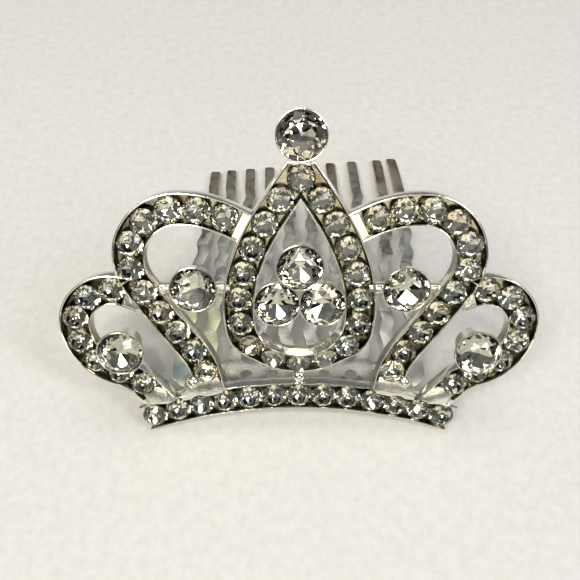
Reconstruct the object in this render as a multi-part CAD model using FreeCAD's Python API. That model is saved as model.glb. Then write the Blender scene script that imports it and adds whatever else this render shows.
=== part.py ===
import FreeCAD, Part
import math
import os

# A child's or bride's tiara comb: a flat crown of open metal channels set with clear round
# stones, with a stamped hair comb soldered behind its lower bar. Lengths are millimetres and
# angles degrees. The crown is drawn lying flat, x across, y up the crown and z out of its
# face, with the channel rims at z = 0, and is tilted to the way it rests at the very end.

Vector = FreeCAD.Vector
X_AXIS = Vector(1, 0, 0)
Z_AXIS = Vector(0, 0, 1)
ORIGIN = Vector(0, 0, 0)

# Metal channels
BAND = 4.5
WALL = 0.3
DEPTH = 1.8
FLOOR = 0.35
OVERCUT = 0.3

# Small stones, all of one size, and the big ones
SMALL_RADIUS = 1.8
BIG_RADIUS = 3.07
GIRDLE_SIDES = 16
TABLE_SHARE = 0.55
CROWN_SHARE = 0.4
PAVILION_DEPTH = 1.2
GIRDLE_HEIGHT = 0.1
GIRDLE_Z = -0.15
SEAT_GAP = 0.15
BEZEL_WALL = 0.2
CUP_TAPER = 0.9
SEAT_TAPER = 0.35

# Centre lines of the bands. Each row is an arc: its radius, and its turn in degrees, which is
# positive to the left. A band goes straight on past both ends of its rows.
BAR = {
    "start": (0, 0), "heading": 0,
    "arcs": ((67.0, -22.0),),
    "first": 3.725, "pitch": 3.725, "stones": 6,
}
BAR_PAST = 1.65
TEARDROP = {
    "start": (0, 34.04), "heading": -54.4,
    "arcs": ((150.0, -2.8), (31.2, -15.7), (20.0, -26.25), (5.0, -34.75)),
    "first": 4.75, "pitch": 3.896, "stones": 8,
}
TALL_ARCH = {
    "start": (9.28, 27.34), "heading": 26.4,
    "arcs": ((15.8, -25.5), (7.25, -122.7), (150.0, -4.0), (30.0, 6.0), (9.0, 18.0)),
    "first": 1.0, "pitch": 3.779, "stones": 11,
    "reach_back": 2.0, "reach_on": 2.2,
}
SMALL_ARCH = {
    "start": (24.0, 16.83), "heading": 24.3,
    "arcs": ((5.72, -114.0), (7.92, -73.2), (7.0, 32.0)),
    "first": 2.28, "pitch": 3.854, "stones": 7,
    "reach_back": 2.2, "reach_on": 2.5,
}

# The teardrop's straight sides meet in a flat-topped tip, which holds its highest stone.
TIP_STONE = (0, 33.0)
TIP = ((-1.85, 35.35), (1.85, 35.35), (3.2, 33.4), (0, 31.5), (-3.2, 33.4))
TIP_HOLLOW = ((-1.6, 34.98), (1.6, 34.98), (2.9, 33.2), (0, 31.5), (-2.9, 33.2))

# The teardrop's foot leans: its lower rim is pressed back towards the comb.
LEAN = 27.0
LEAN_FROM = 25.6
LEAN_FULL = 31.0
LEAN_SECTIONS = 9

# Big stones in their cups
TOP_STONE = (0, 38.55)
TRIO_TOP = (0, 20.7)
TRIO_SIDE = (3.22, 15.15)
SIDE_STONE = (14.93, 17.4)
RAISED_STONE = (25.55, 8.35)
RAISED_GIRDLE_Z = 1.75
STEM_RADIUS = 2.4
STEM_TOP = 0.75
FLARE_TOP = 1.3

# Links, feet and solder
LINK_WIDTH = 1.4
LINK_DEPTH = 1.2
LINK_Y = 17.3
INNER_LINK_START = 9.6
OUTER_LINK_END = 20.0
NECK = ((-1.3, 34.6), (1.3, 34.6), (1.3, 36.2), (-1.3, 36.2))
NECK_TOP = -0.5
TALL_FOOT = ((11.2, 0.4), (17.6, -1.0), (17.8, 0.3), (16.6, 2.6), (15.3, 3.6), (11.9, 3.2))
SMALL_FOOT = ((18.4, -1.4), (18.7, -0.4), (20.0, 1.45), (22.2, 1.6), (23.4, 0.2), (22.3, -1.7))
LOBE = (15.8, 2.35)
LOBE_RADIUS = 1.05
LOBE_Z = -0.35
BLOB_Y = 2.95
BLOB_RADIUS = 1.05
BLOB_TOP = -0.4

# How finely the metal is measured when its place is worked out
MEASURING_STEP = 0.01

# The comb lies in its own plane, which leaves the bar's back edge at a steep angle. Along it
# are measured the slots, the sewing holes and the teeth.
COMB_START = (0.65, -1.5)
COMB_ANGLE = 61.0
COMB_THICKNESS = 0.55
TOOTH_PITCH = 4.05
TOOTH_WIDTH = 2.2
TIP_WIDTH = 1.9
TIP_ROUND = 0.5
SLOT_START = 4.25
SPINE_TOP = 6.0
HOLE_AT = 2.05
HOLE_RADIUS = 0.9
SPINE = ((17.9, 0), (19.5, 1.5), (19.6, 3.4), (19.35, 5.2))
WAVE_FROM = 7.5
WAVE_STEP = 2.4
WAVE_HEIGHT = 0.28
WAVE_COUNT = 15
TOOTH_LENGTH = 50.2
TOOTH_SLANT = 0.45
TOOTH_LEAN = (2.2, 1.3, 1.0, 0.8, 0.7, 0.7, 0.9, 1.2, 2.3, 1.2)
TOOTH_BOW = (0.55, 0.55, 0.5, 0.45, 0.45, 0.5, 0.7, 1.0, 1.4, 1.4)
BOW_SCALE = 27 / 4


def pieces_of(band):
    """The arcs of a centre line as rows of where each begins: x, y, heading, turn, radius."""
    x, y = band["start"]
    heading = math.radians(band["heading"])
    rows = []
    for radius, turn in band["arcs"]:
        turn = math.radians(turn)
        side = math.copysign(radius, turn)
        rows.append((x, y, heading, turn, side))
        x += side * (math.sin(heading + turn) - math.sin(heading))
        y -= side * (math.cos(heading + turn) - math.cos(heading))
        heading += turn
    return rows, (x, y, heading)


def closed_teardrop():
    """The teardrop's rows with a last arc that ends level on the middle line."""
    x, y, heading = pieces_of(TEARDROP)[1]
    rest = math.pi + heading
    last = (x / math.sin(rest), -math.degrees(rest))
    return dict(TEARDROP, arcs=TEARDROP["arcs"] + (last,))


def length_of(band):
    return sum(radius * math.radians(abs(turn)) for radius, turn in band["arcs"])


def spot(band, along):
    """Place and heading at a distance along a centre line, straight beyond its ends."""
    rows, (x, y, heading) = pieces_of(band)
    if along < 0:
        x, y = band["start"]
        heading = math.radians(band["heading"])
        return x + along * math.cos(heading), y + along * math.sin(heading), heading
    for x0, y0, h0, turn, side in rows:
        length = side * turn
        if along <= length:
            h = h0 + along / side
            return x0 + side * (math.sin(h) - math.sin(h0)), y0 - side * (math.cos(h) - math.cos(h0)), h
        along -= length
    return x + along * math.cos(heading), y + along * math.sin(heading), heading


def beside(band, along, offset):
    """A point at an offset to the left of the centre line."""
    x, y, heading = spot(band, along)
    return Vector(x - offset * math.sin(heading), y + offset * math.cos(heading), 0)


def stops(band, start, end):
    """The distances between start and end where one arc gives way to the next."""
    marks = [start]
    along = 0
    for radius, turn in ((0, 0),) + tuple(band["arcs"]):
        along += radius * math.radians(abs(turn))
        if start + 0.01 < along < end - 0.01:
            marks.append(along)
    return marks + [end]


def side_edges(band, marks, offset):
    """One edge of a band as lines and arcs through its marks."""
    edges = []
    for a, b in zip(marks, marks[1:]):
        first, middle, last = (beside(band, s, offset) for s in (a, (a + b) / 2, b))
        straight = (middle - (first + last) * 0.5).Length < 1e-6
        edges.append(Part.makeLine(first, last) if straight else Part.Arc(first, middle, last).toShape())
    return edges


def strip(band, start, end, width, top, bottom):
    """A solid strip along a centre line, between two levels."""
    marks = stops(band, start, end)
    left = side_edges(band, marks, width / 2)
    right = side_edges(band, marks, -width / 2)
    first_cap = Part.makeLine(beside(band, start, -width / 2), beside(band, start, width / 2))
    last_cap = Part.makeLine(beside(band, end, width / 2), beside(band, end, -width / 2))
    face = Part.Face(Part.Wire(left + [last_cap] + right[::-1] + [first_cap]))
    face.translate(Z_AXIS * bottom)
    return face.extrude(Z_AXIS * (top - bottom))


def plate(points, top, bottom):
    """A flat plate with straight edges."""
    corners = [Vector(x, y, bottom) for x, y in points]
    face = Part.Face(Part.makePolygon(corners + corners[:1]))
    return face.extrude(Z_AXIS * (top - bottom))


def disc(centre, radius, top, bottom):
    return Part.makeCylinder(radius, top - bottom, Vector(centre[0], centre[1], bottom))


def mirrored(shape):
    return shape.mirror(ORIGIN, X_AXIS)


def both_sides(shapes):
    return list(shapes) + [mirrored(shape) for shape in shapes]


def lean_at(along):
    """How far the teardrop's channel leans at a distance along it."""
    share = min(max((along - LEAN_FROM) / (LEAN_FULL - LEAN_FROM), 0), 1)
    return math.radians(LEAN) * share * share * (3 - 2 * share)


def flat_axes(band, along):
    """A spot on a band with its unit vectors to the right and out of the channel."""
    x, y, heading = spot(band, along)
    return Vector(x, y, 0), Vector(math.sin(heading), -math.cos(heading), 0), Z_AXIS


def leaning_axes(band, along):
    """The same on the teardrop, whose right is inwards and whose foot leans."""
    place, inwards, out = flat_axes(band, along)
    lean = lean_at(along)
    across = inwards * math.cos(lean) + Z_AXIS * math.sin(lean)
    out = Z_AXIS * math.cos(lean) - inwards * math.sin(lean)
    return place, across, out


def leaning_foot(band):
    """The teardrop's leaning foot, a channel lofted from one side to the other."""
    outer = BAND / 2
    inner = outer - WALL
    profile = (
        (-outer, 0), (-inner, 0), (-inner, FLOOR - DEPTH), (inner, FLOOR - DEPTH),
        (inner, 0), (outer, 0), (outer, -DEPTH), (-outer, -DEPTH),
    )
    end = length_of(band)
    right = []
    for step in range(LEAN_SECTIONS + 1):
        place, across, out = leaning_axes(band, LEAN_FROM + (end - LEAN_FROM) * step / LEAN_SECTIONS)
        points = [place + across * a + out * b for a, b in profile]
        right.append(Part.makePolygon(points + points[:1]))
    left = [mirrored(section) for section in reversed(right[:-1])]
    return Part.makeLoft(right + left, True, False)


def cup(centre, radius):
    """A plain round cup for a big stone, narrower at its back."""
    outer = radius + SEAT_GAP / 3 + BEZEL_WALL
    return Part.makeCone(outer * CUP_TAPER, outer, DEPTH, Vector(centre[0], centre[1], -DEPTH))


def cup_seat(centre, radius):
    """The hollow of a cup: a short round wall over a cone for the stone's point."""
    wide = radius + SEAT_GAP / 3
    level = GIRDLE_Z - GIRDLE_HEIGHT - SEAT_GAP
    bottom = FLOOR - DEPTH
    place = Vector(centre[0], centre[1], 0)
    wall = Part.makeCylinder(wide, OVERCUT - level, place + Z_AXIS * level)
    cone = Part.makeCone(wide * SEAT_TAPER, wide, level - bottom, place + Z_AXIS * bottom)
    return wall.fuse(cone)


def raised_cup():
    """A cup on a stem, which lifts its stone over the small ones beside it."""
    place = Vector(RAISED_STONE[0], RAISED_STONE[1], 0)
    outer = BIG_RADIUS + SEAT_GAP / 3 + BEZEL_WALL
    stem = Part.makeCylinder(STEM_RADIUS, DEPTH + STEM_TOP, place - Z_AXIS * DEPTH)
    flare = Part.makeCone(STEM_RADIUS, outer, FLARE_TOP - STEM_TOP, place + Z_AXIS * STEM_TOP)
    lip = Part.makeCylinder(outer, RAISED_GIRDLE_Z - GIRDLE_Z - FLARE_TOP, place + Z_AXIS * FLARE_TOP)
    return stem.fuse([flare, lip])


def raised_seat():
    place = Vector(RAISED_STONE[0], RAISED_STONE[1], 0)
    wide = BIG_RADIUS + SEAT_GAP / 3
    bottom = RAISED_GIRDLE_Z - PAVILION_DEPTH - SEAT_GAP
    level = RAISED_GIRDLE_Z - SEAT_GAP
    wall = Part.makeCylinder(wide, OVERCUT + SEAT_GAP, place + Z_AXIS * level)
    cone = Part.makeCone(SEAT_GAP, wide, level - bottom, place + Z_AXIS * bottom)
    return wall.fuse(cone)


def comb_rotation():
    """Turns a sheet drawn flat into the comb's plane, teeth pointing back from the bar."""
    return FreeCAD.Placement(
        Vector(0, COMB_START[0], COMB_START[1]), FreeCAD.Rotation(X_AXIS, -COMB_ANGLE)
    )


def tooth_length(index):
    return TOOTH_LENGTH + TOOTH_SLANT * (index - (len(TOOTH_LEAN) - 1) / 2)


def tooth_x(index, along):
    """Where a tooth's middle line runs: leaning to one side, and bowed most at two thirds."""
    middle = (index - (len(TOOTH_LEAN) - 1) / 2) * TOOTH_PITCH
    share = along / tooth_length(index)
    bow = TOOTH_BOW[index] * BOW_SCALE * (1 - share)
    return middle + (TOOTH_LEAN[index] + bow) * share ** 2


def tooth(index):
    """One wavy tooth, straight near its tip."""
    length = tooth_length(index)
    rows = [(SLOT_START - 0.5, 0)]
    for wave in range(WAVE_COUNT):
        rows.append((WAVE_FROM + wave * WAVE_STEP, WAVE_HEIGHT * (-1) ** wave))
    rows.append((length - TIP_ROUND, 0))
    left = []
    right = []
    for along, wave in rows:
        half = (TOOTH_WIDTH + (TIP_WIDTH - TOOTH_WIDTH) * along / length) / 2
        middle = tooth_x(index, along) + wave
        left.append((middle - half, along))
        right.append((middle + half, along))
    tip = tooth_x(index, length)
    left.append((tip - TIP_WIDTH / 2 + TIP_ROUND, length))
    right.append((tip + TIP_WIDTH / 2 - TIP_ROUND, length))
    return plate(left + right[::-1], COMB_THICKNESS / 2, -COMB_THICKNESS / 2)


def comb():
    """The stamped comb: a spine with a sewing hole below every slot, and the teeth."""
    top = COMB_THICKNESS / 2
    right = list(SPINE)
    left = [(-x, y) for x, y in reversed(right)]
    sheet = plate(right + left, top, -top)
    slots = range(1, len(TOOTH_LEAN))
    slot_half = (TOOTH_PITCH - TOOTH_WIDTH) / 2
    cuts = []
    for slot in slots:
        x = (slot - len(TOOTH_LEAN) / 2) * TOOTH_PITCH
        bottom = SLOT_START + slot_half
        cuts.append(disc((x, bottom), slot_half, top + 1, -top - 1))
        cuts.append(plate(
            (
                (x - slot_half, bottom), (x + slot_half, bottom),
                (x + slot_half, SPINE_TOP), (x - slot_half, SPINE_TOP),
            ),
            top + 1, -top - 1,
        ))
        if 1 < slot < len(TOOTH_LEAN) - 1:
            cuts.append(disc((x, HOLE_AT), HOLE_RADIUS, top + 1, -top - 1))
    sheet = sheet.fuse([tooth(index) for index in range(len(TOOTH_LEAN))]).cut(cuts)
    sheet.Placement = comb_rotation()
    return sheet


def channel_ends(band):
    """Where a band's channel starts and ends: just past its first and last stones."""
    past = SMALL_RADIUS + SEAT_GAP
    last = band["first"] + (band["stones"] - 1) * band["pitch"]
    return band["first"] - past, last + past


def bar_end():
    """Half the bar's length. Its channel is open there, at the edge of the last stone."""
    return BAR["first"] + (BAR["stones"] - 1) * BAR["pitch"] + BAR_PAST


def crown_with_comb():
    """All the metal: bands, cups, links, feet and comb, soldered into one piece."""
    groove = BAND - 2 * WALL
    drop = closed_teardrop()
    bodies = [
        strip(BAR, 0, bar_end(), BAND, 0, -DEPTH),
        strip(drop, 0, LEAN_FROM, BAND, 0, -DEPTH),
        cup(TRIO_SIDE, BIG_RADIUS),
        cup(SIDE_STONE, BIG_RADIUS),
        raised_cup(),
        plate(TALL_FOOT, 0, -DEPTH),
        plate(SMALL_FOOT, 0, -DEPTH),
        Part.makeSphere(LOBE_RADIUS, Vector(LOBE[0], LOBE[1], LOBE_Z)),
    ]
    cutters = [
        strip(BAR, 0, bar_end() + OVERCUT, groove, OVERCUT, FLOOR - DEPTH),
        strip(drop, 0, LEAN_FROM, groove, OVERCUT, FLOOR - DEPTH),
        cup_seat(TRIO_SIDE, BIG_RADIUS),
        cup_seat(SIDE_STONE, BIG_RADIUS),
        raised_seat(),
    ]
    for band in (TALL_ARCH, SMALL_ARCH):
        start, end = channel_ends(band)
        bodies.append(strip(band, start - band["reach_back"], end + band["reach_on"], BAND, 0, -DEPTH))
        cutters.append(strip(band, start, end, groove, OVERCUT, FLOOR - DEPTH))
    left_link = (INNER_LINK_START, SIDE_STONE[0] - BIG_RADIUS)
    right_link = (SIDE_STONE[0] + BIG_RADIUS, OUTER_LINK_END)
    for low, high in (left_link, right_link):
        low_y = LINK_Y - LINK_WIDTH / 2
        bodies.append(Part.makeBox(high - low, LINK_WIDTH, LINK_DEPTH, Vector(low, low_y, -DEPTH)))
    bodies = both_sides(bodies) + [
        leaning_foot(drop),
        plate(TIP, 0, -DEPTH),
        cup(TOP_STONE, BIG_RADIUS),
        cup(TRIO_TOP, BIG_RADIUS),
        disc((0, BLOB_Y), BLOB_RADIUS, BLOB_TOP, -DEPTH),
        plate(NECK, NECK_TOP, -DEPTH),
        comb(),
    ]
    cutters = both_sides(cutters) + [
        plate(TIP_HOLLOW, OVERCUT, FLOOR - DEPTH),
        cup_seat(TOP_STONE, BIG_RADIUS),
        cup_seat(TRIO_TOP, BIG_RADIUS),
    ]
    metal = bodies[0].fuse(bodies[1:])
    return metal.cut(cutters).removeSplitter()


def brilliant(radius):
    """A round cut stone: table, crown facets, thin girdle and a pointed back."""
    def ring(size, height, sides, turn):
        angles = [math.radians(turn + 360 * k / sides) for k in range(sides)]
        return [Vector(size * math.cos(a), size * math.sin(a), height) for a in angles]

    half = GIRDLE_SIDES // 2
    step = 360 / GIRDLE_SIDES
    table = ring(radius * TABLE_SHARE, radius * CROWN_SHARE, half, step)
    upper = ring(radius, 0, GIRDLE_SIDES, 0)
    lower = ring(radius, -GIRDLE_HEIGHT, GIRDLE_SIDES, 0)
    point = Vector(0, 0, -PAVILION_DEPTH)
    outlines = [table]
    for k in range(half):
        corner = 2 * k + 1
        past = (2 * k + 2) % GIRDLE_SIDES
        outlines.append([table[k], upper[2 * k], upper[corner]])
        outlines.append([table[k], upper[corner], upper[past]])
        outlines.append([table[k], upper[past], table[(k + 1) % half]])
    for k in range(GIRDLE_SIDES):
        after = (k + 1) % GIRDLE_SIDES
        outlines.append([upper[k], lower[k], lower[after], upper[after]])
        outlines.append([lower[k], point, lower[after]])
    faces = [Part.Face(Part.makePolygon(points + points[:1])) for points in outlines]
    solid = Part.Solid(Part.makeShell(faces))
    if solid.Volume < 0:
        solid.reverse()
    return solid


def set_stone(stone, place, across, out):
    """A copy of a stone with its table facing out."""
    along = across.cross(out)
    turned = stone.copy()
    turned.Placement = FreeCAD.Placement(place, FreeCAD.Rotation(across, along, out, "XZY"))
    return turned


def big_stone(stone, centre, level=GIRDLE_Z):
    return set_stone(stone, Vector(centre[0], centre[1], level), X_AXIS, Z_AXIS)


def stone_row(stone, band, axes=flat_axes):
    """The stones of one band, evenly spaced along it."""
    stones = []
    for number in range(band["stones"]):
        place, across, out = axes(band, band["first"] + number * band["pitch"])
        stones.append(set_stone(stone, place + out * GIRDLE_Z, across, out))
    return stones


def stone_nodes():
    """Every node of stones: big ones alone, small ones a row at a time."""
    small = brilliant(SMALL_RADIUS)
    big = brilliant(BIG_RADIUS)
    drop = closed_teardrop()
    nodes = {
        "top_stone": [big_stone(big, TOP_STONE)],
        "trio_stone_top": [big_stone(big, TRIO_TOP)],
        "bar_stones": both_sides(stone_row(small, BAR)) + [big_stone(small, (0, 0))],
    }
    place, across, out = leaning_axes(drop, length_of(drop))
    foot = set_stone(small, place + out * GIRDLE_Z, across, out)
    nodes["teardrop_stones"] = both_sides(stone_row(small, drop, leaning_axes)) + [
        big_stone(small, TIP_STONE), foot,
    ]
    pairs = {
        "trio_stone": [big_stone(big, TRIO_SIDE)],
        "side_stone": [big_stone(big, SIDE_STONE)],
        "raised_stone": [big_stone(big, RAISED_STONE, RAISED_GIRDLE_Z)],
        "tall_arch_stones": stone_row(small, TALL_ARCH),
        "small_arch_stones": stone_row(small, SMALL_ARCH),
    }
    for name, stones in pairs.items():
        nodes[name + "_right"] = stones
        nodes[name + "_left"] = [mirrored(stone) for stone in stones]
    return nodes


def resting_tilt():
    """The tilt at which the bar's ends and the longest tooth stand on one level."""
    x, y, heading = spot(BAR, bar_end())
    low_y = y - BAND / 2 * math.cos(heading)
    reach = max(tooth_length(index) for index in range(len(TOOTH_LEAN)))
    tip = comb_rotation().multVec(Vector(0, reach, -COMB_THICKNESS / 2))
    return math.degrees(math.atan2(-(tip.z + DEPTH), tip.y - low_y))


def resting_place(metal):
    """Tilts the crown to its rest and puts the origin under the middle of its outer box."""
    tilted = metal.copy()
    tilted.Placement = FreeCAD.Placement(ORIGIN, FreeCAD.Rotation(X_AXIS, resting_tilt()))
    points = tilted.tessellate(MEASURING_STEP)[0]
    low = [min(point[axis] for point in points) for axis in range(3)]
    high = [max(point[axis] for point in points) for axis in range(3)]
    shift = Vector(-(low[0] + high[0]) / 2, -(low[1] + high[1]) / 2, -low[2])
    return FreeCAD.Placement(shift, tilted.Placement.Rotation)


def main():
    os.makedirs("parts", exist_ok=True)
    metal = crown_with_comb()
    nodes = {"crown_with_comb": [metal]}
    nodes.update(stone_nodes())
    rest = resting_place(metal)
    print("tilt", round(resting_tilt(), 3), "shift", rest.Base)
    for name, solids in nodes.items():
        for solid in solids:
            solid.Placement = rest.multiply(solid.Placement)
        shape = solids[0] if len(solids) == 1 else Part.makeCompound(solids)
        shape.exportStep("parts/" + name + ".step")
        print(name, len(shape.Solids), "solids", round(shape.Volume, 1), "mm3", shape.isValid())


main()
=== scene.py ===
# %% [markdown]
# A small tiara on a hair comb. The real one is a cast metal crown of open channels, plated
# bright silver, with round foil-backed glass stones set side by side in the channels, and a
# stamped comb soldered behind its lower bar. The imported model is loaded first, because every
# piece made here stands in its place and has its sizes.

# %% Load the frame
import math
import random
import bmesh
import bpy
from mathutils import Matrix, Vector, noise


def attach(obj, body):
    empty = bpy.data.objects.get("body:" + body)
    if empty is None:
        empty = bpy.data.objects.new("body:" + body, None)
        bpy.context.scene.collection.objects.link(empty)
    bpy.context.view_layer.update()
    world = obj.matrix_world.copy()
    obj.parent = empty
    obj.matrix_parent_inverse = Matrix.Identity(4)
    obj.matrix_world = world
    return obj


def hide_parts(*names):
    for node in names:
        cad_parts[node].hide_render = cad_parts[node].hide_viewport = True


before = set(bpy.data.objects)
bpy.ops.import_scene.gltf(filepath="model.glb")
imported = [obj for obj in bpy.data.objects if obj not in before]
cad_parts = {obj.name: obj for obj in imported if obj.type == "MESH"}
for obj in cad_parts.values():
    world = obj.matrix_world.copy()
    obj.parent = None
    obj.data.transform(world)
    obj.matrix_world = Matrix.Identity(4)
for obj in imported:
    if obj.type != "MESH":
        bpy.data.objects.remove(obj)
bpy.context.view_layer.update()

# %% [markdown]
# The crown is easiest to draw lying flat: x across, y up the crown, z out of its face, with
# the channel rims at z = 0, all in millimetres. One matrix then tilts it to the way it
# rests, standing on the two ends of its bar and on its comb's teeth. The same matrix carries
# the camera, which was measured against the flat crown too.

# %% Flat drawing to resting place
MM = 0.001
CROWN_TILT = 54.813
BAR_MIDDLE = Vector((0, -24.943, 6.235))
REST = (Matrix.Scale(MM, 4) @ Matrix.Translation(BAR_MIDDLE)
        @ Matrix.Rotation(math.radians(CROWN_TILT), 4, "X"))
CRISP_ANGLE = 32
NOISE_SEED = 7
noise.seed_set(NOISE_SEED)


def linear(hex_colour):
    """An sRGB hex colour as the linear one that shaders read."""
    parts = [int(hex_colour[i:i + 2], 16) / 255 for i in (1, 3, 5)]
    return tuple(c / 12.92 if c < 0.04045 else ((c + 0.055) / 1.055) ** 2.4 for c in parts) + (1,)


def soften(bm, angle=CRISP_ANGLE):
    """Smooth shading, with the edges sharper than an angle kept crisp."""
    for face in bm.faces:
        face.smooth = True
    for edge in bm.edges:
        if len(edge.link_faces) == 2:
            edge.smooth = edge.calc_face_angle(0) < math.radians(angle)


def hand_made(bm, size, grain):
    """Moves every vertex a little by smooth noise, so that no wall is quite true."""
    for vert in bm.verts:
        vert.co += noise.noise_vector(vert.co / grain) * size


def finish_piece(bm, name, node):
    """Puts a flat-drawn bmesh in its resting place as a piece that stands for a node."""
    bmesh.ops.transform(bm, matrix=REST, verts=bm.verts)
    mesh = bpy.data.meshes.new(name)
    bm.to_mesh(mesh)
    bm.free()
    piece = bpy.data.objects.new(name, mesh)
    bpy.context.scene.collection.objects.link(piece)
    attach(piece, "root")
    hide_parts(node)
    print(name, len(mesh.polygons), "faces")
    return piece


print("the bar's middle rests at", tuple(round(c, 4) for c in REST.translation))

# %% [markdown]
# Every band of the crown follows a centre line of a few arcs. A table gives each arc's
# radius and its turn in degrees, to the left when positive, and where the stones start and
# how far apart they are. The teardrop's last arc is worked out, so that it ends level on the
# middle line and its mirrored half meets it there.

# %% Centre lines
BAND = 4.5
WALL = 0.3
DEPTH = 1.8
FLOOR = 0.35
SMALL_RADIUS = 1.86
BIG_RADIUS = 3.14
CHANNEL_PAST = 1.95
SEAT_GAP = 0.15
GIRDLE_Z = -0.15
BEZEL_WALL = 0.2
HALF = BAND / 2
INNER = HALF - WALL
RIM = WALL / 2

BAR = {
    "start": (0, 0), "heading": 0, "arcs": ((67.0, -22.0),),
    "first": 3.725, "pitch": 3.725, "stones": 6,
}
BAR_PAST = 1.65
SEARCH_STEP = 0.2
SEARCH_PAST = 10
TEARDROP = {
    "start": (0, 34.04), "heading": -54.4,
    "arcs": ((150.0, -2.8), (31.2, -15.7), (20.0, -26.25), (5.0, -34.75)),
    "first": 4.75, "pitch": 3.896, "stones": 8,
}
TALL_ARCH = {
    "start": (9.28, 27.34), "heading": 26.4,
    "arcs": ((15.8, -25.5), (7.25, -122.7), (150.0, -4.0), (30.0, 6.0), (9.0, 18.0)),
    "first": 1.0, "pitch": 3.779, "stones": 11,
    "reach_back": 2.0, "reach_on": 2.2,
}
SMALL_ARCH = {
    "start": (24.0, 16.83), "heading": 24.3,
    "arcs": ((5.72, -114.0), (7.92, -73.2), (7.0, 32.0)),
    "first": 2.28, "pitch": 3.854, "stones": 7,
    "reach_back": 2.2, "reach_on": 2.5,
}
TIP_STONE = (0, 33.0)
TIP_TOP = 35.35
LEAN = 27.0
LEAN_FROM = 25.6
LEAN_FULL = 31.0


def spot(band, along):
    """Place and heading at a distance along a centre line, straight beyond its ends."""
    x, y = band["start"]
    heading = math.radians(band["heading"])
    if along < 0:
        return x + along * math.cos(heading), y + along * math.sin(heading), heading
    for radius, turn in band["arcs"]:
        side = math.copysign(radius, turn)
        length = radius * math.radians(abs(turn))
        step = min(along, length) / side
        x += side * (math.sin(heading + step) - math.sin(heading))
        y -= side * (math.cos(heading + step) - math.cos(heading))
        heading += step
        along -= length
        if along <= 0:
            return x, y, heading
    return x + along * math.cos(heading), y + along * math.sin(heading), heading


def length_of(band):
    """The length of a centre line's arcs."""
    return sum(radius * math.radians(abs(turn)) for radius, turn in band["arcs"])


def closed_teardrop():
    """The teardrop with its last arc, which ends level on the middle line."""
    x, _, heading = spot(TEARDROP, length_of(TEARDROP))
    rest = math.pi + heading
    return dict(TEARDROP, arcs=TEARDROP["arcs"] + ((x / math.sin(rest), -math.degrees(rest)),))


DROP = closed_teardrop()


def frame_at(band, along):
    """The matrix of a channel's section: x across it to the right, y along, z out of it."""
    x, y, heading = spot(band, along)
    right = Vector((math.sin(heading), -math.cos(heading), 0))
    out = Vector((0, 0, 1))
    if band is DROP:
        share = min(max((along - LEAN_FROM) / (LEAN_FULL - LEAN_FROM), 0), 1)
        lean = math.radians(LEAN) * share * share * (3 - 2 * share)
        tilt = Matrix.Rotation(-lean, 3, out.cross(right))
        right, out = tilt @ right, tilt @ out
    turned = Matrix((right, out.cross(right), out)).transposed().to_4x4()
    return Matrix.Translation((x, y, 0)) @ turned


def beside(band, along, offset):
    """A point at an offset to the left of a centre line."""
    x, y, heading = spot(band, along)
    return x - offset * math.sin(heading), y + offset * math.cos(heading)


def tucked(point, host):
    """Draws a point that has gone through a host's left wall back into that wall."""
    steps = int(length_of(host) / SEARCH_STEP) + SEARCH_PAST
    along = min((k * SEARCH_STEP for k in range(steps)),
                key=lambda s: math.hypot(spot(host, s)[0] - point.x, spot(host, s)[1] - point.y))
    x, y, heading = spot(host, along)
    offset = (point.y - y) * math.cos(heading) - (point.x - x) * math.sin(heading)
    if offset < HALF - RIM:
        point.x, point.y = beside(host, along, HALF - RIM)
    return point


print("teardrop closes with a radius of", round(DROP["arcs"][-1][0], 2), "mm")

# %% [markdown]
# A channel is one cross-section carried along its centre line. The section is a wide U with
# half-round rims and soft inner corners, as a casting has. It could be made as a curve with
# a bevel profile, but extruding a ring of edges step by step lets the groove close where the
# metal is bare, past the first and last stone, and lets the teardrop's foot lean back.

# %% The channel's section and its sweep
STEP = 0.4
INNER_ROUND = 0.25
BACK_ROUND = 0.12
CLOSED_LEVEL = -0.03
CLOSING_RUN = 0.03


def half_section():
    """The right half of the U, from the middle of its floor round to the middle of its back."""
    rim = [(HALF - RIM + RIM * math.cos(a), -RIM + RIM * math.sin(a)) for a in
           [math.radians(d) for d in (180, 135, 90, 45, 0)]]
    groove = [(0, FLOOR - DEPTH), (INNER - INNER_ROUND, FLOOR - DEPTH),
              (INNER, FLOOR - DEPTH + INNER_ROUND)]
    back = [(HALF, -DEPTH + BACK_ROUND), (HALF - BACK_ROUND, -DEPTH), (0, -DEPTH)]
    return groove + rim + back


def section():
    """The whole U, as a ring of (across, out) points."""
    right = half_section()
    left = [(-a, b) for a, b in reversed(right[1:-1])]
    return right + left


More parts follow.
